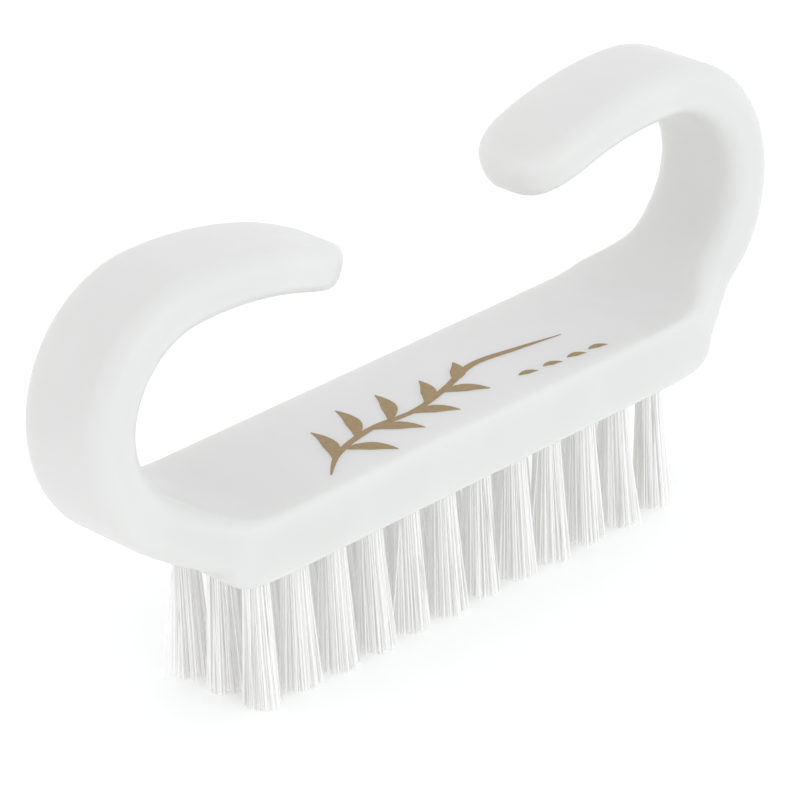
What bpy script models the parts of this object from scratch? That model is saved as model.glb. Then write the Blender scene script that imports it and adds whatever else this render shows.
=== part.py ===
# Nail brush: one moulded body, a flat bar whose two ends curl up and inwards as finger
# hooks, and a field of nylon tufts set in blind holes in the bar's underside.
# Metres, +Z up, +X along the bar, +Y across it. The origin is under the middle of the
# bar, on the plane of the bristle tips.

import math

import bmesh
import bpy

MM = 0.001

# The bar
BAR_HALF_LENGTH = 24.26 * MM  # from the middle to the foot of an end wall
BAR_WIDTH = 12.93 * MM
BAR_THICKNESS = 4.78 * MM
BAR_TOP_EDGE = 0.45 * MM  # radius along the top face
BAR_BOTTOM_EDGE = 0.3 * MM  # radius along the underside
END_WALL_CORNER = 2.31 * MM  # radius from the underside up into the end wall
END_WALL_EDGE = 1.2 * MM  # radius of the end wall's upright edges
END_WALL_TURN = 68.3  # degrees: how steep the wall gets before it runs out into the neck
END_WALL_REACH = 0.14  # how soon it does so

# The finger hooks. The centre line starts at the foot, beside the bar's end, and is a
# chain of arcs: radius, and the angle that each turns through.
FOOT_OUTSET = 3.64 * MM  # past the bar's end wall
FOOT_RISE = 1.44 * MM  # above the bar's top face
FOOT_HEADING = 37.9  # degrees above the horizontal
HOOK_ARCS = ((8.4 * MM, 51.8), (8.31 * MM, 87.9), (29.1 * MM, 26.8))
FOOT_THICKNESS = 4.3 * MM
BACK_THICKNESS = 4.1 * MM  # where the hook stands furthest out
TIP_THICKNESS = 3.2 * MM
BACK_POSITION = 0.3  # of the centre line's length
FOOT_WIDTH = 8.74 * MM
BACK_WIDTH = 8.25 * MM
TIP_WIDTH = 8.37 * MM
HOOK_EDGE_SHARE = 0.38  # edge radius as a share of the hook's thickness
NOSE_LENGTH = 1.42 * MM  # rounded end past the last arc
NOSE_DRAW = 5.07 * MM  # length of hook over which the sides draw in to the nose's end
NOSE_FULLNESS = 2.23  # 2 draws the tip in as an ellipse, and more leaves it blunter
LAST_NOSE_ANGLE = 84.0  # of the rounded end's quarter turn, the rest being a flat cap
LAST_EDGE_SHARE = 0.48  # edge radius at that cap, where the section is nearly a full round
ROOT_LENGTH = 5.03 * MM  # the end of the bar that blends into a hook
ROOT_NARROWING_START = 0.35  # share of the root's length where the bar starts to narrow
NECK_REACH = 0.64  # how gently the end wall runs into the hook's outer face

# The tufts
COLUMNS = 12
ROWS = 3
END_MARGIN = 4.46 * MM  # end wall to the centre of the last column
SIDE_MARGIN = 2.865 * MM  # bar side to the centre of the outer row
BRISTLE_LENGTH = 10.8 * MM  # free length below the bar
TUFT_DIAMETER = 1.85 * MM  # where the filaments are packed tight in the hole
TIP_SPACE = 0.7 * MM  # between the tips of neighbouring tufts
HOLE_DEPTH = 3.3 * MM
HOLE_RUN_OUT = 1.0 * MM  # how far a hole's cutter stands out below the bar
CLEARANCE = 0.28 * MM  # around a tuft and above its fold

# Fineness of the faceted surfaces
ROOT_RINGS = 14
RING_TURN = 7.5  # degrees of hook between rings, at most
RING_STEP = 1.3 * MM  # length of hook between rings, at most
NOSE_RINGS = 5
CORNER_STEPS = 4
WALL_CORNER_STEPS = 6
HOLE_SIDES = 12
TUFT_SIDES = 10

BAR_BOTTOM = BRISTLE_LENGTH
COLUMN_PITCH = 2 * (BAR_HALF_LENGTH - END_MARGIN) / (COLUMNS - 1)
ROW_PITCH = (BAR_WIDTH - 2 * SIDE_MARGIN) / (ROWS - 1)
TUFT_TIP_DIAMETER = max(min(COLUMN_PITCH, ROW_PITCH) - TIP_SPACE, TUFT_DIAMETER)
HOLE_DIAMETER = TUFT_DIAMETER + 2 * CLEARANCE


def ease(a, b, u):
    """a to b as u goes from 0 to 1, with a level start and end."""
    u = min(max(u, 0.0), 1.0)
    return a + (b - a) * u * u * (3 - 2 * u)


def bezier(p0, p1, p2, p3, steps):
    """Points (x, z) along a cubic curve, without its first."""
    points = []
    for i in range(1, steps + 1):
        u = i / steps
        shares = (1 - u) ** 3, 3 * u * (1 - u) ** 2, 3 * u * u * (1 - u), u**3
        x, z = (sum(share * p[axis] for share, p in zip(shares, (p0, p1, p2, p3))) for axis in (0, 1))
        points.append((x, z))
    return points


def blend_curve(start, start_heading, end, end_heading, reaches=(0.4, 0.4), steps=24):
    """A smooth curve between two points, leaving and arriving along the headings."""
    leave, arrive = (math.dist(start, end) * reach for reach in reaches)
    p1 = (start[0] + leave * math.cos(start_heading), start[1] + leave * math.sin(start_heading))
    p2 = (end[0] - arrive * math.cos(end_heading), end[1] - arrive * math.sin(end_heading))
    return bezier(start, p1, p2, end, steps)


def spaced(path, count):
    """count + 1 points at equal distances along a path of (x, z) points."""
    lengths = [0.0]
    for a, b in zip(path, path[1:]):
        lengths.append(lengths[-1] + math.dist(a, b))
    points = []
    k = 0
    for i in range(count + 1):
        at = lengths[-1] * i / count
        while k < len(path) - 2 and lengths[k + 1] < at:
            k += 1
        u = (at - lengths[k]) / (lengths[k + 1] - lengths[k])
        points.append(tuple(p + (q - p) * u for p, q in zip(path[k], path[k + 1])))
    return points


def hook_line():
    """Points (x, z, heading) along a hook's centre line; z is above the bar's underside."""
    x = BAR_HALF_LENGTH + FOOT_OUTSET
    z = BAR_THICKNESS + FOOT_RISE
    heading = math.radians(FOOT_HEADING)
    points = [(x, z, heading)]
    for radius, turn in HOOK_ARCS:
        steps = math.ceil(max(turn / RING_TURN, radius * math.radians(turn) / RING_STEP))
        step = math.radians(turn) / steps
        chord = 2 * radius * math.sin(step / 2)
        for _ in range(steps):
            x += chord * math.cos(heading + step / 2)
            z += chord * math.sin(heading + step / 2)
            heading += step
            points.append((x, z, heading))
    return points


def across(x, z, heading, thickness):
    """The inner and outer points of a hook at a point of its centre line."""
    dx, dz = math.sin(heading) * thickness / 2, math.cos(heading) * thickness / 2
    return (x - dx, z + dz), (x + dx, z - dz)


def drawn_in(width, before_end):
    """The width of the hook at a distance before its very end, where the sides draw in."""
    q = max(0.0, 1 - before_end / NOSE_DRAW)
    return width * (1 - q**NOSE_FULLNESS) ** (1 / NOSE_FULLNESS)


def hook_stations():
    """Stations (inner, outer, width, inner edge radius, outer edge radius) along a hook."""
    line = hook_line()
    lengths = [0.0]
    for a, b in zip(line, line[1:]):
        lengths.append(lengths[-1] + math.dist(a[:2], b[:2]))
    stations = []
    for (x, z, heading), length in zip(line, lengths):
        u = length / lengths[-1]
        below = ease(0, 1, u / BACK_POSITION)
        above = ease(0, 1, (u - BACK_POSITION) / (1 - BACK_POSITION))
        thickness = FOOT_THICKNESS + (BACK_THICKNESS - FOOT_THICKNESS) * below
        thickness += (TIP_THICKNESS - BACK_THICKNESS) * above
        width = FOOT_WIDTH + (BACK_WIDTH - FOOT_WIDTH) * below + (TIP_WIDTH - BACK_WIDTH) * above
        width = drawn_in(width, lengths[-1] + NOSE_LENGTH - length)
        inner, outer = across(x, z, heading, thickness)
        radius = HOOK_EDGE_SHARE * thickness
        stations.append((inner, outer, width, radius, radius))
    x, z, heading = line[-1]
    for i in range(1, NOSE_RINGS + 1):
        angle = math.radians(LAST_NOSE_ANGLE * i / NOSE_RINGS)
        thickness = TIP_THICKNESS * math.cos(angle)
        ahead = NOSE_LENGTH * math.sin(angle)
        width = drawn_in(TIP_WIDTH, NOSE_LENGTH - ahead)
        at = (x + ahead * math.cos(heading), z + ahead * math.sin(heading))
        inner, outer = across(*at, heading, thickness)
        radius = thickness * (HOOK_EDGE_SHARE + (LAST_EDGE_SHARE - HOOK_EDGE_SHARE) * math.sin(angle))
        stations.append((inner, outer, width, radius, radius))
    return stations


def root_stations(foot):
    """Stations from the plain bar round its end wall to the foot of the hook."""
    start = BAR_HALF_LENGTH - ROOT_LENGTH
    heading = math.radians(FOOT_HEADING)
    foot_inner, foot_outer, foot_width, foot_radius = foot[:4]
    inner_path = [(start, BAR_THICKNESS)]
    inner_path += blend_curve(inner_path[0], 0.0, foot_inner, heading)
    outer_path = [(start, 0.0)]
    for i in range(WALL_CORNER_STEPS + 1):
        angle = math.radians(END_WALL_TURN * i / WALL_CORNER_STEPS)
        outer_path.append((
            BAR_HALF_LENGTH - END_WALL_CORNER * (1 - math.sin(angle)),
            END_WALL_CORNER * (1 - math.cos(angle)),
        ))
    wall_heading = math.radians(END_WALL_TURN)
    reaches = (END_WALL_REACH, NECK_REACH)
    outer_path += blend_curve(outer_path[-1], wall_heading, foot_outer, heading, reaches)
    stations = []
    pairs = zip(spaced(inner_path, ROOT_RINGS), spaced(outer_path, ROOT_RINGS))
    for i, (inner, outer) in enumerate(pairs):
        u = i / ROOT_RINGS
        width = ease(BAR_WIDTH, foot_width, (u - ROOT_NARROWING_START) / (1 - ROOT_NARROWING_START))
        inner_edge = ease(BAR_TOP_EDGE, foot_radius, u)
        outer_edge = ease(BAR_BOTTOM_EDGE, END_WALL_EDGE, 2 * u)
        outer_edge += ease(0, foot_radius - END_WALL_EDGE, 2 * u - 1)
        stations.append((inner, outer, width, inner_edge, outer_edge))
    return stations[:-1]


def ring_points(station, side):
    """The corners of one cross-section, side +1 for the right-hand half and -1 for the left."""
    inner, outer, width, inner_edge, outer_edge = station
    thickness = math.dist(inner, outer)
    tx, tz = (outer[0] - inner[0]) / thickness, (outer[1] - inner[1]) / thickness
    largest = 0.49 * min(thickness, width)
    inner_edge, outer_edge = min(inner_edge, largest), min(outer_edge, largest)
    corners = (
        (inner_edge, -1, 180.0, inner_edge),
        (thickness - outer_edge, -1, 270.0, outer_edge),
        (thickness - outer_edge, 1, 0.0, outer_edge),
        (inner_edge, 1, 90.0, inner_edge),
    )
    points = []
    for depth, across_sign, first, radius in corners:
        for i in range(CORNER_STEPS + 1):
            angle = math.radians(first + 90 * i / CORNER_STEPS)
            down = depth + radius * math.cos(angle)
            y = across_sign * (width / 2 - radius) + radius * math.sin(angle)
            points.append((side * (inner[0] + tx * down), y, BAR_BOTTOM + inner[1] + tz * down))
    return points


def solid_from_rings(name, rings):
    """A closed mesh through rings of points, with a flat cap at each end."""
    bm = bmesh.new()
    loops = [[bm.verts.new(p) for p in ring] for ring in rings]
    for a, b in zip(loops, loops[1:]):
        for i in range(len(a)):
            j = (i + 1) % len(a)
            bm.faces.new((a[i], a[j], b[j], b[i]))
    bm.faces.new(loops[0])
    bm.faces.new(loops[-1])
    bmesh.ops.recalc_face_normals(bm, faces=bm.faces)
    return mesh_of(name, bm)


def mesh_of(name, bm):
    mesh = bpy.data.meshes.new(name)
    bm.to_mesh(mesh)
    bm.free()
    mesh.shade_smooth()
    mesh.set_sharp_from_angle(angle=math.radians(35))
    return mesh


def tuft_places():
    """The row, column, x and y of each tuft."""
    places = []
    for row in range(ROWS):
        for column in range(COLUMNS):
            x = (column - (COLUMNS - 1) / 2) * COLUMN_PITCH
            y = (row - (ROWS - 1) / 2) * ROW_PITCH
            places.append((row + 1, column + 1, x, y))
    return places


def hole_cutter():
    """One mesh of all the cylinders that drill the tuft holes."""
    bm = bmesh.new()
    for _, _, x, y in tuft_places():
        made = bmesh.ops.create_cone(
            bm, cap_ends=True, segments=HOLE_SIDES, radius1=HOLE_DIAMETER / 2,
            radius2=HOLE_DIAMETER / 2, depth=HOLE_DEPTH + HOLE_RUN_OUT,
        )
        lift = BAR_BOTTOM + (HOLE_DEPTH - HOLE_RUN_OUT) / 2
        bmesh.ops.translate(bm, vec=(x, y, lift), verts=made["verts"])
    cutter = bpy.data.objects.new("tuft_hole_cutter", mesh_of("tuft_hole_cutter", bm))
    cutter.hide_render = True
    cutter.display_type = "WIRE"
    bpy.context.scene.collection.objects.link(cutter)
    return cutter


def tuft_mesh():
    """A tuft: packed tight in its hole, and spreading towards the tips."""
    root, tip = TUFT_DIAMETER / 2, TUFT_TIP_DIAMETER / 2
    fold = BAR_BOTTOM + HOLE_DEPTH - CLEARANCE
    rings = []
    for radius, z in ((root, fold), (root, BAR_BOTTOM), (tip, 0.0)):
        angles = [2 * math.pi * i / TUFT_SIDES for i in range(TUFT_SIDES)]
        rings.append([(radius * math.cos(a), radius * math.sin(a), z) for a in angles])
    return solid_from_rings("tuft", rings)


def material(name, colour, roughness, metallic=0.0):
    made = bpy.data.materials.new(name)
    made.use_nodes = True
    shader = made.node_tree.nodes["Principled BSDF"]
    shader.inputs["Base Color"].default_value = (*colour, 1.0)
    shader.inputs["Roughness"].default_value = roughness
    shader.inputs["Metallic"].default_value = metallic
    return made


def add(name, mesh, look, parent):
    piece = bpy.data.objects.new(name, mesh)
    if not mesh.materials:
        mesh.materials.append(look)
    piece.parent = parent
    bpy.context.scene.collection.objects.link(piece)
    return piece


def build():
    for old in list(bpy.data.objects):
        bpy.data.objects.remove(old)
    brush = bpy.data.objects.new("nail_brush", None)
    bpy.context.scene.collection.objects.link(brush)

    milky_plastic = material("milky_plastic", (0.86, 0.86, 0.85), 0.22)
    nylon = material("nylon", (0.84, 0.84, 0.83), 0.35)

    hook = hook_stations()
    stations = root_stations(hook[0]) + hook
    rings = [ring_points(s, -1) for s in reversed(stations)] + [ring_points(s, 1) for s in stations]
    body = add("brush_body", solid_from_rings("brush_body", rings), milky_plastic, brush)
    drill = body.modifiers.new("tuft_holes", "BOOLEAN")
    drill.operation = "DIFFERENCE"
    drill.solver = "EXACT"
    drill.object = hole_cutter()

    tuft = tuft_mesh()
    for row, column, x, y in tuft_places():
        piece = add(f"tuft_r{row}_c{column:02d}", tuft, nylon, brush)
        piece.location = (x, y, 0.0)


build()
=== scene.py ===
# Nail brush: the moulded body, its tufts of folded nylon, the anchor wires that hold
# them, and the gold print on the bar. Sizes are in millimetres and turned into metres
# where a mesh is made; x runs along the bar, y across it and z up from the bristle tips.
import math
import random

import bmesh
import bpy
from mathutils import Matrix, Vector
from mathutils.geometry import interpolate_bezier


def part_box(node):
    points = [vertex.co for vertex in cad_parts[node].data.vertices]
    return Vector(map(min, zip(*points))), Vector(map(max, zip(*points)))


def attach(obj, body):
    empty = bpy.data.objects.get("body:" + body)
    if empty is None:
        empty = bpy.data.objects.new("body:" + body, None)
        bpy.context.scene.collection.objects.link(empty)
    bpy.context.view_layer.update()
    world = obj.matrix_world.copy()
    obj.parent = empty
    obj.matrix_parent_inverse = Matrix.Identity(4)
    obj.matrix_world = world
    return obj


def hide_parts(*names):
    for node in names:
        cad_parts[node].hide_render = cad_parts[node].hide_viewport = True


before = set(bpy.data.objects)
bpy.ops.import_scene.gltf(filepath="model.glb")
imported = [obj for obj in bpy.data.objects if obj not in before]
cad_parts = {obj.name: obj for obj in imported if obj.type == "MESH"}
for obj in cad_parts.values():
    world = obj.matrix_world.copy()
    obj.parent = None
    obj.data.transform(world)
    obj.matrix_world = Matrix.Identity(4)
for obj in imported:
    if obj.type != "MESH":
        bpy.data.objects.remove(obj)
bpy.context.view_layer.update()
mm = 0.001
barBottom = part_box("brush_body")[0].z / mm

# ---- camera, floor and light

cameraSetup = {
    "lens": 201.6,
    "sensorWidth": 36,
    "nearClip": 0.01,  # metres
    "distance": 316.8,
    "target": (0.0, 0.0, 19.29),
    "azimuth": -43.61,  # degrees, from in front of the long side towards the left end
    "elevation": 25.49,
    "roll": -2.48,
    "aimRight": -0.237,  # degrees that the lens points away from the target
    "aimDown": 0.715,
}


def placeCamera():
    azimuth = math.radians(cameraSetup["azimuth"])
    elevation = math.radians(cameraSetup["elevation"])
    turn = (
        Matrix.Rotation(azimuth, 4, "Z")
        @ Matrix.Rotation(math.pi / 2 - elevation, 4, "X")
        @ Matrix.Rotation(math.radians(cameraSetup["roll"]), 4, "Z")
    )
    aim = (
        Matrix.Rotation(-math.radians(cameraSetup["aimRight"]), 4, "Y")
        @ Matrix.Rotation(-math.radians(cameraSetup["aimDown"]), 4, "X")
    )
    target = Vector(cameraSetup["target"]) * mm
    back = turn @ Vector((0, 0, cameraSetup["distance"] * mm))
    lens = bpy.data.cameras.new("camera")
    lens.lens = cameraSetup["lens"]
    lens.sensor_width = cameraSetup["sensorWidth"]
    lens.clip_start = cameraSetup["nearClip"]
    camera = bpy.data.objects.new("camera", lens)
    camera.matrix_world = Matrix.Translation(target + back) @ turn @ aim
    bpy.context.scene.collection.objects.link(camera)
    bpy.context.scene.camera = camera


studio = {
    "room": (0.99, 0.995, 1.0),
    "roomStrength": 1.02,
    "floorColour": (0.93, 0.93, 0.93),
    "floorGlow": 0.13,
    "floorSize": 3.0,  # metres
    "floorRoughness": 0.9,
    "aimHeight": 0.02,  # metres: the lights face this far above the middle of the floor
    "diffuseBounces": 10,  # light has to find its way in between white filaments
    "lights": {
        # place in metres, size in metres, watts
        "overhead": {"place": (0.1, 0.1, 1.1), "size": 1.0, "power": 0.15, "colour": (1, 1, 0.99)},
        "front": {"place": (0.15, -1.0, 0.3), "size": 0.8, "power": 1.5, "colour": (0.85, 0.98, 1)},
    },
}


def lightStudio():
    world = bpy.data.worlds.new("studio")
    world.use_nodes = True
    glow = world.node_tree.nodes["Background"]
    glow.inputs["Color"].default_value = (*studio["room"], 1)
    glow.inputs["Strength"].default_value = studio["roomStrength"]
    bpy.context.scene.world = world
    bpy.context.scene.view_settings.view_transform = "Standard"
    bpy.context.scene.cycles.diffuse_bounces = studio["diffuseBounces"]
    for name, light in studio["lights"].items():
        lamp = bpy.data.lights.new(name, "AREA")
        lamp.size = light["size"]
        lamp.energy = light["power"]
        lamp.color = light["colour"]
        holder = bpy.data.objects.new(name, lamp)
        place = Vector(light["place"])
        facing = (Vector((0, 0, studio["aimHeight"])) - place).to_track_quat("-Z", "Y")
        holder.matrix_world = Matrix.Translation(place) @ facing.to_matrix().to_4x4()
        bpy.context.scene.collection.objects.link(holder)
    bm = bmesh.new()
    bmesh.ops.create_grid(bm, x_segments=1, y_segments=1, size=studio["floorSize"] / 2)
    floor = finishPiece("floor", bm, floorPaint())


# ---- materials

noiseReach = (0.3, 0.7)  # the part of the noise that a ramp or a range spreads out


def startMaterial(name):
    material = bpy.data.materials.new(name)
    material.use_nodes = True
    nodes = material.node_tree.nodes
    return material, nodes, material.node_tree.links, nodes["Principled BSDF"]


def addNoise(nodes, links, scale, detail=2.0, stretch=(1, 1, 1)):
    place = nodes.new("ShaderNodeTexCoord")
    mapping = nodes.new("ShaderNodeMapping")
    noise = nodes.new("ShaderNodeTexNoise")
    mapping.inputs["Scale"].default_value = stretch
    noise.inputs["Scale"].default_value = scale
    noise.inputs["Detail"].default_value = detail
    links.new(place.outputs["Object"], mapping.inputs["Vector"])
    links.new(mapping.outputs["Vector"], noise.inputs["Vector"])
    return noise.outputs["Fac"]


def addRange(nodes, links, source, low, high):
    ranged = nodes.new("ShaderNodeMapRange")
    ranged.inputs["From Min"].default_value = noiseReach[0]
    ranged.inputs["From Max"].default_value = noiseReach[1]
    ranged.inputs["To Min"].default_value = low
    ranged.inputs["To Max"].default_value = high
    links.new(source, ranged.inputs["Value"])
    return ranged.outputs["Result"]


def addRamp(nodes, links, source, first, last):
    ramp = nodes.new("ShaderNodeValToRGB")
    for stop, position, colour in zip(ramp.color_ramp.elements, noiseReach, (first, last)):
        stop.position = position
        stop.color = (*colour, 1)
    links.new(source, ramp.inputs["Fac"])
    return ramp.outputs["Color"]


def addBump(nodes, links, source, depth):
    bump = nodes.new("ShaderNodeBump")
    bump.inputs["Strength"].default_value = 1.0
    bump.inputs["Distance"].default_value = depth * mm
    links.new(source, bump.inputs["Height"])
    return bump.outputs["Normal"]


def floorPaint():
    material, nodes, links, shader = startMaterial("floor_paint")
    shader.inputs["Base Color"].default_value = (*studio["floorColour"], 1)
    shader.inputs["Roughness"].default_value = studio["floorRoughness"]
    shader.inputs["Specular IOR Level"].default_value = 0.0
    shader.inputs["Emission Color"].default_value = (1, 1, 1, 1)
    shader.inputs["Emission Strength"].default_value = studio["floorGlow"]
    return material


plasticLook = {
    "cloudy": (0.70, 0.70, 0.69),  # base colour where the moulding is a little denser
    "clear": (0.72, 0.72, 0.71),
    "cloudScale": 160,
    "milkiness": 0.45,  # share of the light that goes in under the surface
    "depth": 2.2,  # how far light wanders there
    "depthByColour": (1.0, 0.95, 0.9),
    "bendsLight": 1.49,  # index of refraction
    "roughness": (0.3, 0.38),
    "grainScale": 900,
    "ripple": 0.004,  # depth of the faint unevenness left by the mould
    "rippleScale": 330,
}


def milkyPlastic():
    look = plasticLook
    material, nodes, links, shader = startMaterial("milky_plastic")
    clouds = addNoise(nodes, links, look["cloudScale"], 3)
    grain = addNoise(nodes, links, look["grainScale"])
    ripple = addNoise(nodes, links, look["rippleScale"])
    links.new(addRamp(nodes, links, clouds, look["cloudy"], look["clear"]),
              shader.inputs["Base Color"])
    links.new(addRange(nodes, links, grain, *look["roughness"]), shader.inputs["Roughness"])
    links.new(addBump(nodes, links, ripple, look["ripple"]), shader.inputs["Normal"])
    shader.inputs["Subsurface Weight"].default_value = look["milkiness"]
    shader.inputs["Subsurface Radius"].default_value = look["depthByColour"]
    shader.inputs["Subsurface Scale"].default_value = look["depth"] * mm
    shader.inputs["IOR"].default_value = look["bendsLight"]
    return material


nylonLook = {
    "shaded": (0.82, 0.815, 0.80),
    "bright": (0.88, 0.88, 0.875),
    "strandScale": 2600,
    "strandStretch": (1, 1, 0.04),
    "roughness": (0.28, 0.42),
    "depth": 0.4,
    "bendsLight": 1.53,
    "glow": 0.095,  # painted glow: the filaments give off a little light of their own, in place of the light scattered between them
}


def nylonPlastic():
    look = nylonLook
    material, nodes, links, shader = startMaterial("nylon_filament")
    # the tone differs from filament to filament, and hardly along one
    strands = addNoise(nodes, links, look["strandScale"], 1, look["strandStretch"])
    links.new(addRamp(nodes, links, strands, look["shaded"], look["bright"]),
              shader.inputs["Base Color"])
    links.new(addRange(nodes, links, strands, *look["roughness"]), shader.inputs["Roughness"])
    shader.inputs["Subsurface Weight"].default_value = 1.0
    shader.inputs["Subsurface Radius"].default_value = (1.0, 1.0, 1.0)
    shader.inputs["Subsurface Scale"].default_value = look["depth"] * mm
    shader.inputs["IOR"].default_value = look["bendsLight"]
    # painted glow: emission that brightens the filaments in place of the light they pass on to each
    # other
    shader.inputs["Emission Color"].default_value = (1, 1, 1, 1)
    shader.inputs["Emission Strength"].default_value = look["glow"]
    return material


inkLook = {
    "noise": (3500, 3),  # scale and detail of the speckle
    "dark": (0.275, 0.185, 0.08),
    "light": (0.365, 0.25, 0.12),
    "roughness": (0.38, 0.52),
    "metallic": 0.3,
}
wireLook = {
    "noise": (4000, 2, (0.05, 1, 1)),  # scale, detail and stretch of the drawing scratches
    "dark": (0.55, 0.5, 0.4),
    "light": (0.7, 0.64, 0.5),
    "roughness": (0.25, 0.4),
    "metallic": 1.0,
}


def metalMaterial(name, look):
    material, nodes, links, shader = startMaterial(name)
    marks = addNoise(nodes, links, *look["noise"])
    links.new(addRamp(nodes, links, marks, look["dark"], look["light"]),
              shader.inputs["Base Color"])
    links.new(addRange(nodes, links, marks, *look["roughness"]), shader.inputs["Roughness"])
    shader.inputs["Metallic"].default_value = look["metallic"]
    return material


def smoothMesh(mesh, sharpAngle=35):
    mesh.shade_smooth()
    mesh.set_sharp_from_angle(angle=math.radians(sharpAngle))


def finishPiece(name, bm, material, sharpAngle=35):
    mesh = bpy.data.meshes.new(name)
    bm.to_mesh(mesh)
    bm.free()
    smoothMesh(mesh, sharpAngle)
    mesh.materials.append(material)
    piece = bpy.data.objects.new(name, mesh)
    bpy.context.scene.collection.objects.link(piece)
    return piece


# ---- the moulded body: a bar with a finger hook curling up at each end

bodyShape = {
    "halfLength": 24.26,  # middle of the bar to the foot of its end wall
    "width": 12.93,
    "thickness": 4.78,
    "topEdge": 0.45,  # radius along the top face
    "bottomEdge": 0.3,
    "wallCorner": 2.31,  # radius from the underside up into the end wall
    "wallEdge": 1.2,  # radius of the end wall's upright edges
    "wallTurn": 68.3,  # degrees: how steep the wall gets before it runs out into the neck
    "reaches": (0.14, 0.64),  # how gently it does so, at the wall and at the hook
    "footOutset": 3.64,  # where the hook's centre line starts, past the end wall
    "footRise": 1.44,
    "footHeading": 37.9,
    "arcs": ((8.4, 51.8), (8.31, 87.9), (29.1, 26.8)),  # radius, and degrees turned through
    "thicknesses": (4.3, 4.1, 3.2),  # at the foot, the back and the tip
    "widths": (8.74, 8.25, 8.37),
    "backPosition": 0.3,
    "edgeShare": 0.38,  # edge radius as a share of the thickness
    "noseLength": 1.42,
    "noseDraw": 5.07,  # length of hook over which the sides draw in to the tip
    "noseFullness": 2.23,  # 2 draws the tip in as an ellipse, and more leaves it blunter
    "rootLength": 5.03,  # the end of the bar that blends into the hook
    "narrowingStart": 0.35,
    "fullestEdge": 0.495,  # an edge radius is at most this share of the section
    "cornerSteps": 8,
    "wallSteps": 18,
    "curveSteps": 60,
    "flatMargin": 0.12,  # the line that keeps each flat flat, beside its rounded edge
    "rootRings": 30,
    "ringSpacing": 0.65,
    "noseRings": 9,
    "lastNoseAngle": 87,  # degrees: the last ring, just short of the very tip
    "lastNoseEdge": 0.49,
    "weld": 0.01,  # points on the middle plane that are closer than this become one
}


def ease(low, high, share):
    share = min(max(share, 0.0), 1.0)
    return low + (high - low) * share * share * (3 - 2 * share)


def blendPath(start, startHeading, end, endHeading, reaches=(0.4, 0.4)):
    leave, arrive = [(end - start).length * reach for reach in reaches]
    leaving = start + leave * Vector((math.cos(startHeading), math.sin(startHeading)))
    arriving = end - arrive * Vector((math.cos(endHeading), math.sin(endHeading)))
    return [p.copy() for p in interpolate_bezier(start, leaving, arriving, end, bodyShape["curveSteps"])]


def spaceEvenly(path, count):
    lengths = [0.0]
    for first, second in zip(path, path[1:]):
        lengths.append(lengths[-1] + (second - first).length)
    places = []
    leg = 0
    for i in range(count + 1):
        along = lengths[-1] * i / count
        while leg < len(path) - 2 and lengths[leg + 1] < along:
            leg += 1
        share = (along - lengths[leg]) / (lengths[leg + 1] - lengths[leg])
        places.append(path[leg].lerp(path[leg + 1], share))
    return places


def hookCentreLine():
    s = bodyShape
    place = Vector((s["halfLength"] + s["footOutset"], s["thickness"] + s["footRise"]))
    heading = math.radians(s["footHeading"])
    line = [(place.copy(), heading, 0.0)]
    for radius, turn in s["arcs"]:
        steps = math.ceil(radius * math.radians(turn) / s["ringSpacing"])
        bend = math.radians(turn) / steps
        chord = 2 * radius * math.sin(bend / 2)
        for _ in range(steps):
            place += chord * Vector((math.cos(heading + bend / 2), math.sin(heading + bend / 2)))
            heading += bend
            line.append((place.copy(), heading, line[-1][2] + chord))
    return line


def drawnIn(width, beforeEnd):
    pull = max(0.0, 1 - beforeEnd / bodyShape["noseDraw"])
    fullness = bodyShape["noseFullness"]
    return width * (1 - pull ** fullness) ** (1 / fullness)


def hookStations():
    # each station: inner point, outer point, width, inner edge radius, outer edge radius
    s = bodyShape
    line = hookCentreLine()
    hookLength = line[-1][2]
    stations = []

    def addStation(place, heading, thickness, width, radius):
        across = Vector((math.sin(heading), -math.cos(heading))) * thickness / 2
        stations.append((place - across, place + across, width, radius, radius))

    for place, heading, length in line:
        share = length / hookLength
        toBack = ease(0, 1, share / s["backPosition"])
        toTip = ease(0, 1, (share - s["backPosition"]) / (1 - s["backPosition"]))
        sizes = []
        for foot, back, tip in (s["thicknesses"], s["widths"]):
            sizes.append(foot + (back - foot) * toBack + (tip - back) * toTip)
        width = drawnIn(sizes[1], hookLength + s["noseLength"] - length)
        addStation(place, heading, sizes[0], width, s["edgeShare"] * sizes[0])
    place, heading, length = line[-1]
    forward = Vector((math.cos(heading), math.sin(heading)))
    for i in range(1, s["noseRings"] + 1):
        angle = math.radians(s["lastNoseAngle"] * i / s["noseRings"])
        ahead = s["noseLength"] * math.sin(angle)
        thickness = s["thicknesses"][2] * math.cos(angle)
        share = s["edgeShare"] + (s["lastNoseEdge"] - s["edgeShare"]) * math.sin(angle)
        width = drawnIn(s["widths"][2], s["noseLength"] - ahead)
        addStation(place + forward * ahead, heading, thickness, width, thickness * share)
    return stations


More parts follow.
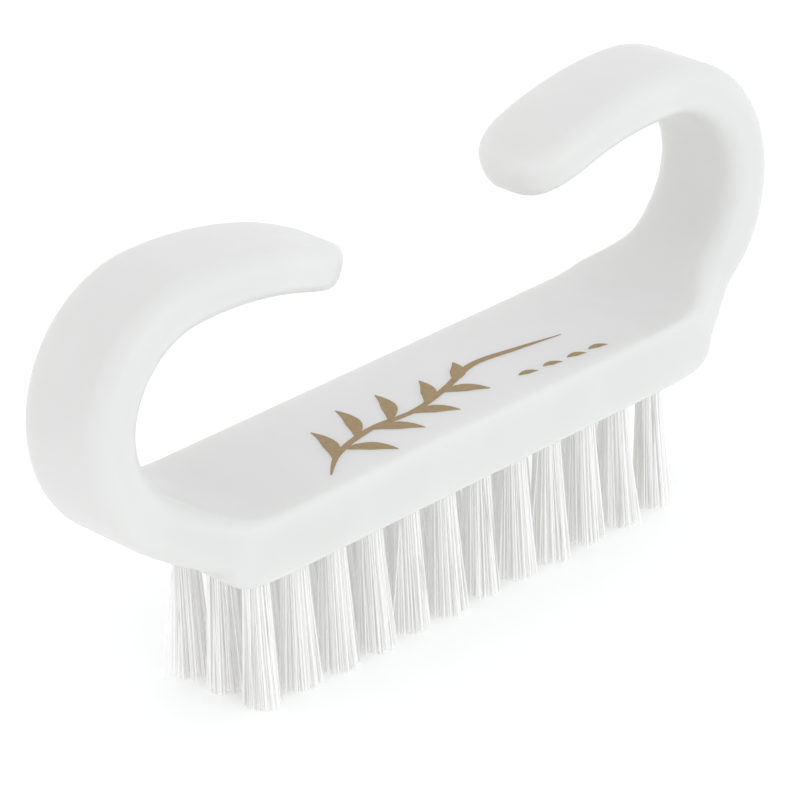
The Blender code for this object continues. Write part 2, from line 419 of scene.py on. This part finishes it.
def rootStations(foot):
    s = bodyShape
    start = s["halfLength"] - s["rootLength"]
    heading = math.radians(s["footHeading"])
    footInner, footOuter, footWidth, footRadius = foot[:4]
    innerPath = blendPath(Vector((start, s["thickness"])), 0.0, footInner, heading)
    outerPath = [Vector((start, 0.0))]
    wallTurn = math.radians(s["wallTurn"])
    for i in range(s["wallSteps"] + 1):
        angle = wallTurn * i / s["wallSteps"]
        outerPath.append(Vector((s["halfLength"] - s["wallCorner"] * (1 - math.sin(angle)),
                                 s["wallCorner"] * (1 - math.cos(angle)))))
    outerPath += blendPath(outerPath[-1], wallTurn, footOuter, heading, s["reaches"])
    stations = []
    places = zip(spaceEvenly(innerPath, s["rootRings"]), spaceEvenly(outerPath, s["rootRings"]))
    for i, (inner, outer) in enumerate(places):
        share = i / s["rootRings"]
        narrowing = (share - s["narrowingStart"]) / (1 - s["narrowingStart"])
        width = ease(s["width"], footWidth, narrowing)
        innerEdge = ease(s["topEdge"], footRadius, share)
        outerEdge = ease(s["bottomEdge"], s["wallEdge"], 2 * share)
        outerEdge += ease(0, footRadius - s["wallEdge"], 2 * share - 1)
        stations.append((inner, outer, width, innerEdge, outerEdge))
    return stations[:-1]


def sectionPlaces(station):
    inner, outer, width, innerEdge, outerEdge = station
    thickness = (outer - inner).length
    down = (outer - inner) / thickness
    largest = bodyShape["fullestEdge"] * min(thickness, width)
    innerEdge, outerEdge = min(innerEdge, largest), min(outerEdge, largest)
    steps = bodyShape["cornerSteps"]
    places = []
    for depth, side, first, radius in (
        (innerEdge, -1, 180, innerEdge),
        (thickness - outerEdge, -1, 270, outerEdge),
        (thickness - outerEdge, 1, 0, outerEdge),
        (innerEdge, 1, 90, innerEdge),
    ):
        centre = Vector((depth, side * (width / 2 - radius)))
        room = min(thickness - innerEdge - outerEdge, width - 2 * radius)
        margin = min(bodyShape["flatMargin"], 0.3 * room)
        arc = []
        for i in range(steps + 1):
            angle = math.radians(first + 90 * i / steps)
            arc.append(centre + radius * Vector((math.cos(angle), math.sin(angle))))
        before = math.radians(first - 90)
        after = math.radians(first + 180)
        arc.insert(0, arc[0] + margin * Vector((math.cos(before), math.sin(before))))
        arc.append(arc[-1] + margin * Vector((math.cos(after), math.sin(after))))
        for place in arc:
            at = inner + down * place.x
            places.append(Vector((at.x, place.y, barBottom + at.y)) * mm)
    return places


def nextAlong(vert, fresh):
    # the new point that was extruded from this one
    return next(e.other_vert(vert) for e in vert.link_edges if e.other_vert(vert) in fresh)


def extrudeRing(bm, ring, places):
    edges = [bm.edges.get((ring[i - 1], ring[i])) for i in range(len(ring))]
    made = bmesh.ops.extrude_edge_only(bm, edges=edges)["geom"]
    fresh = {v for v in made if isinstance(v, bmesh.types.BMVert)}
    nextRing = [nextAlong(vert, fresh) for vert in ring]
    for vert, place in zip(nextRing, places):
        vert.co = place
    return nextRing


def makeBody():
    hook = hookStations()
    stations = rootStations(hook[0]) + hook
    middle = (Vector((0, bodyShape["thickness"])), Vector((0, 0)), *stations[0][2:])
    bm = bmesh.new()
    outline = sectionPlaces(middle)
    ring = bmesh.ops.create_circle(bm, segments=len(outline))["verts"]
    for vert, place in zip(ring, outline):
        vert.co = place
    for station in stations:
        ring = extrudeRing(bm, ring, sectionPlaces(station))
    bm.faces.new(ring)
    everything = bm.verts[:] + bm.edges[:] + bm.faces[:]
    bmesh.ops.mirror(bm, geom=everything, axis="X", merge_dist=bodyShape["weld"] * mm)
    bmesh.ops.recalc_face_normals(bm, faces=bm.faces)
    body = finishPiece("moulded_body", bm, milkyPlastic())
    drillHoles(body)
    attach(body, "root")
    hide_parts("brush_body")
    print("moulded body", len(body.data.polygons), "faces")


holeShape = {"diameter": 2.1, "depth": 3.3, "sides": 24}


def drillHoles(body):
    bm = bmesh.new()
    for name in tuftNodes:
        low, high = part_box(name)
        made = bmesh.ops.create_cone(
            bm, cap_ends=True, segments=holeShape["sides"],
            radius1=holeShape["diameter"] / 2 * mm, radius2=holeShape["diameter"] / 2 * mm,
            depth=2 * holeShape["depth"] * mm,
        )
        place = Vector(((low.x + high.x) / 2, (low.y + high.y) / 2, barBottom * mm))
        bmesh.ops.translate(bm, vec=place, verts=made["verts"])
    cutter = finishPiece("hole_cutter", bm, body.data.materials[0])
    drill = body.modifiers.new("holes", "BOOLEAN")
    drill.operation = "DIFFERENCE"
    drill.solver = "EXACT"
    drill.object = cutter
    graph = bpy.context.evaluated_depsgraph_get()
    drilled = bpy.data.meshes.new_from_object(body.evaluated_get(graph))
    body.modifiers.clear()
    body.data = drilled
    bpy.data.objects.remove(cutter)
    smoothMesh(drilled)


# ---- the tufts: nylon filaments folded in half over an anchor wire

tuftShape = {
    "filament": 0.125,  # diameter
    "places": 140,  # sunflower places in the hole, each a leg of a folded filament
    "rootRadius": 0.88,  # centres of the outermost filaments, in the hole
    "tipRadius": 1.42,
    "flare": 1.15,  # above 1, more of the spreading is near the tips
    "foldAngles": (60, 120),
    "foldRise": 1.9,  # above the bar's underside, where the legs start to fold over
    "unevenTips": 0.3,
    "wander": 0.11,  # how far a tip strays from its place in the pattern
    "lean": 0.12,  # how far a whole tuft leans
    "looseShare": 0.05,
    "looseWander": 0.38,
    "strays": {"tuft_r3_c01": (-1.5, 0.5)},  # one filament whose tip has sprung this far out
    "legSteps": 3,
    "sides": 5,
    "sharpAngle": 80,  # keeps a filament's few sides looking round
    "rootGap": 0.13,  # from the anchor to the middle of the nearest leg
    "tipLift": 0.03,  # the lowest that a tip reaches, above the surface under the brush
    "strayLift": 0.1,
    "strayPartner": -0.5,  # how far the stray's other leg leans the same way
    "goldenAngle": 137.508,  # degrees from one sunflower place to the next
    "seed": 7,
}
tuftNodes = sorted(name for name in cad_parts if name.startswith("tuft_"))


def makeFilament():
    # a straight filament with rings at whole numbers of z, to be laid along any path
    ringCount = 2 * (tuftShape["legSteps"] + 2) + len(tuftShape["foldAngles"])
    bm = bmesh.new()
    bmesh.ops.create_cone(
        bm, cap_ends=True, segments=tuftShape["sides"], radius1=tuftShape["filament"] / 2,
        radius2=tuftShape["filament"] / 2, depth=ringCount - 1,
    )
    uprights = [e for e in bm.edges if abs(e.verts[0].co.z - e.verts[1].co.z) > 0.5]
    bmesh.ops.subdivide_edges(bm, edges=uprights, cuts=ringCount - 2, use_grid_fill=True)
    bmesh.ops.translate(bm, vec=(0, 0, (ringCount - 1) / 2), verts=bm.verts)
    mesh = bpy.data.meshes.new("filament")
    bm.to_mesh(mesh)
    bm.free()
    return mesh


def legPath(root, tip):
    path = []
    for i in range(tuftShape["legSteps"] + 1):
        share = 1 - i / tuftShape["legSteps"]  # 1 at the tip
        spread = share ** tuftShape["flare"]
        path.append(Vector((
            root.x + (tip.x - root.x) * spread,
            root.y + (tip.y - root.y) * spread,
            barBottom + (tip.z - barBottom) * share,
        )))
    path.append(Vector((root.x, root.y, barBottom + tuftShape["foldRise"])))
    return path


def foldedPath(roots, tips):
    first, last = legPath(roots[0], tips[0]), legPath(roots[1], tips[1])
    middle = (first[-1] + last[-1]) / 2
    reach = first[-1] - middle
    fold = []
    for angle in tuftShape["foldAngles"]:
        swing = math.radians(angle)
        fold.append(middle + reach * math.cos(swing) + Vector((0, 0, reach.length * math.sin(swing))))
    return first + fold + last[::-1]


def layAlong(bm, filament, path):
    bm.verts.ensure_lookup_table()
    already = len(bm.verts)
    bm.from_mesh(filament)
    bm.verts.ensure_lookup_table()
    frames = []
    for i, place in enumerate(path):
        along = (path[min(i + 1, len(path) - 1)] - path[max(i - 1, 0)]).normalized()
        across = Vector((1, 0, 0)) - along * along.x
        across.normalize()
        frames.append((place, across, along.cross(across)))
    for vert in bm.verts[already:]:
        place, across, over = frames[round(vert.co.z)]
        vert.co = (place + across * vert.co.x + over * vert.co.y) * mm


def tipPlace(root, centre, leanBy, dice):
    t = tuftShape
    spread = t["tipRadius"] / t["rootRadius"]
    wander = t["looseWander"] if dice.random() < t["looseShare"] else t["wander"]
    return Vector((
        centre.x + (root.x - centre.x) * spread + leanBy.x + dice.gauss(0, wander),
        centre.y + (root.y - centre.y) * spread + leanBy.y + dice.gauss(0, wander),
        t["tipLift"] + dice.random() ** 2 * t["unevenTips"],
    ))


def rootPair(x, y, apart):
    return [Vector((x, y + side * apart, 0)) for side in (1, -1)]


def makeTufts():
    t = tuftShape
    nylon = nylonPlastic()
    filament = makeFilament()
    dice = random.Random(t["seed"])
    for name in tuftNodes:
        low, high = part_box(name)
        centre = (low + high) / 2 / mm
        leanBy = Vector((dice.gauss(0, t["lean"]), dice.gauss(0, t["lean"])))
        turn = dice.uniform(-0.5, 0.5)
        bm = bmesh.new()
        for i in range(t["places"]):
            radius = t["rootRadius"] * math.sqrt((i + 0.5) / t["places"])
            angle = i * math.radians(t["goldenAngle"]) + turn
            offset = Vector((radius * math.cos(angle), radius * math.sin(angle)))
            if offset.y < 0:
                continue  # the other leg of a filament whose first leg is in front
            offset.y = max(offset.y, t["rootGap"])
            roots = rootPair(centre.x + offset.x, centre.y, offset.y)
            tips = [tipPlace(root, centre, leanBy, dice) for root in roots]
            layAlong(bm, filament, foldedPath(roots, tips))
        if name in t["strays"]:
            roots = rootPair(centre.x - t["rootRadius"], centre.y, t["rootGap"])
            sprung = (Vector((*t["strays"][name], t["strayLift"])),
                      Vector((t["strayPartner"], 0, t["strayLift"])))
            tips = [root + reach for root, reach in zip(roots, sprung)]
            layAlong(bm, filament, foldedPath(roots, tips))
        tuft = finishPiece(name.replace("tuft", "filaments"), bm, nylon, t["sharpAngle"])
        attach(tuft, "root")
        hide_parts(name)
    print("tufts", len(tuftNodes))


anchorShape = {"length": 2.16, "height": 1.1, "thickness": 0.18, "belowFold": 0.75, "edge": 0.03}


def makeAnchors():
    a = anchorShape
    wire = metalMaterial("anchor_wire", wireLook)
    for name in tuftNodes:
        low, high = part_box(name)
        bm = bmesh.new()
        bmesh.ops.create_cube(bm, size=1)
        size = Vector((a["length"], a["thickness"], a["height"])) * mm
        bmesh.ops.scale(bm, vec=size, verts=bm.verts)
        bmesh.ops.bevel(bm, geom=bm.edges, offset=a["edge"] * mm, offset_type="OFFSET", segments=2,
                        profile=0.5, affect="EDGES", material=-1)
        lift = barBottom + tuftShape["foldRise"] - a["belowFold"] + a["height"] / 2
        place = Vector(((low.x + high.x) / 2, (low.y + high.y) / 2, lift * mm))
        bmesh.ops.translate(bm, vec=place, verts=bm.verts)
        anchor = finishPiece(name.replace("tuft", "anchor"), bm, wire)
        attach(anchor, "root")
    print("anchors", len(tuftNodes))


# ---- the gold print: a leafy sprig, with four small leaves beside its tail

printShape = {
    "lift": 0.012,  # above the bar's top face
    "film": 0.02,
    "stem": (
        (-13.2, -4.6), (-10.5, -2.6), (-6.5, -1.6), (-2.5, -1.9),
        (1.5, -1.0), (5.5, 0.3), (9.5, -0.3), (13.3, -1.1),
    ),
    "stemWidths": (0.15, 0.5, 0.55, 0.5, 0.55, 0.6, 0.45, 0.08),
    # leaves along the stem: where each leaves it, how far along and across it reaches
    "leaves": (
        (-11.6, 1.9, 4.4), (-10.0, 2.6, -2.9), (-8.2, 2.0, 4.2), (-6.6, 2.8, -2.7),
        (-4.8, 2.2, 3.7), (-3.0, 2.8, -2.3), (-1.2, 2.3, 3.0), (0.8, 2.8, -2.2), (2.6, 2.2, 2.2),
    ),
    "leafWidth": 1.15,
    "leafOutline": (0.12, 0.72, 1.0, 0.66, 0.06),
    "leafBow": 0.12,  # how far a leaf curves to one side, as a share of its length
    "leafStep": 0.001,  # each leaf lies this much higher than the one before
    "thinnest": 0.05,
    "strokeSteps": 10,
    "stemSteps": 40,
    "sprinkle": ((6.4, -3.5), (8.6, -3.8), (10.8, -4.1), (12.8, -4.3)),
    "sprinkleSize": (1.5, -0.5, 0.6),  # along, across and width of each small leaf
}


def smoothThrough(values, steps):
    # values at equal shares along a smooth line through all of them
    line = []
    for i in range(len(values) - 1):
        before = values[max(i - 1, 0)]
        first, second = values[i], values[i + 1]
        after = values[min(i + 2, len(values) - 1)]
        for k in range(steps):
            u = k / steps
            line.append(0.5 * (2 * first + (second - before) * u
                               + (2 * before - 5 * first + 4 * second - after) * u * u
                               + (3 * first - before - 3 * second + after) * u ** 3))
    return line + [values[-1]]


def paintStroke(bm, places, widths, level):
    line = smoothThrough([Vector(place) for place in places], printShape["strokeSteps"])
    sizes = smoothThrough(list(widths), printShape["strokeSteps"])
    pair = None
    for i, (place, size) in enumerate(zip(line, sizes)):
        along = (line[min(i + 1, len(line) - 1)] - line[max(i - 1, 0)]).normalized()
        side = Vector((-along.y, along.x)) * max(size, printShape["thinnest"]) / 2
        ends = [Vector((at.x, at.y, level)) * mm for at in (place + side, place - side)]
        if pair is None:
            pair = [bm.verts.new(end) for end in ends]
            bm.edges.new(pair)
            continue
        made = bmesh.ops.extrude_edge_only(bm, edges=[bm.edges.get(pair)])["geom"]
        fresh = {v for v in made if isinstance(v, bmesh.types.BMVert)}
        pair = [nextAlong(vert, fresh) for vert in pair]
        for vert, end in zip(pair, ends):
            vert.co = end


def leafPlaces(foot, along, across):
    bow = Vector((-across, along)) * math.copysign(printShape["leafBow"], across)
    reach = Vector((along, across))
    shares = (0, 0.25, 0.5, 0.75, 1)
    return [foot + reach * share - bow * 4 * share * (1 - share) for share in shares]


def makePrint():
    p = printShape
    level = barBottom + bodyShape["thickness"] + p["lift"]
    bm = bmesh.new()
    stem = [Vector(place) for place in p["stem"]]
    paintStroke(bm, stem, p["stemWidths"], level)
    stemLine = smoothThrough(stem, p["stemSteps"])
    for i, (x, along, across) in enumerate(p["leaves"]):
        foot = min(stemLine, key=lambda place: abs(place.x - x))
        paintStroke(bm, leafPlaces(foot, along, across),
                    [p["leafWidth"] * share for share in p["leafOutline"]],
                    level + p["leafStep"] * (i + 1))
    for place in p["sprinkle"]:
        along, across, width = p["sprinkleSize"]
        paintStroke(bm, leafPlaces(Vector(place), along, across),
                    [width * share for share in p["leafOutline"]], level)
    bmesh.ops.recalc_face_normals(bm, faces=bm.faces)
    bmesh.ops.solidify(bm, geom=bm.faces, thickness=p["film"] * mm)
    ink = finishPiece("gold_print", bm, metalMaterial("gold_ink", inkLook))
    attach(ink, "root")
    print("print", len(ink.data.polygons), "faces")


placeCamera()
lightStudio()
makeBody()
makeTufts()
makeAnchors()
makePrint()
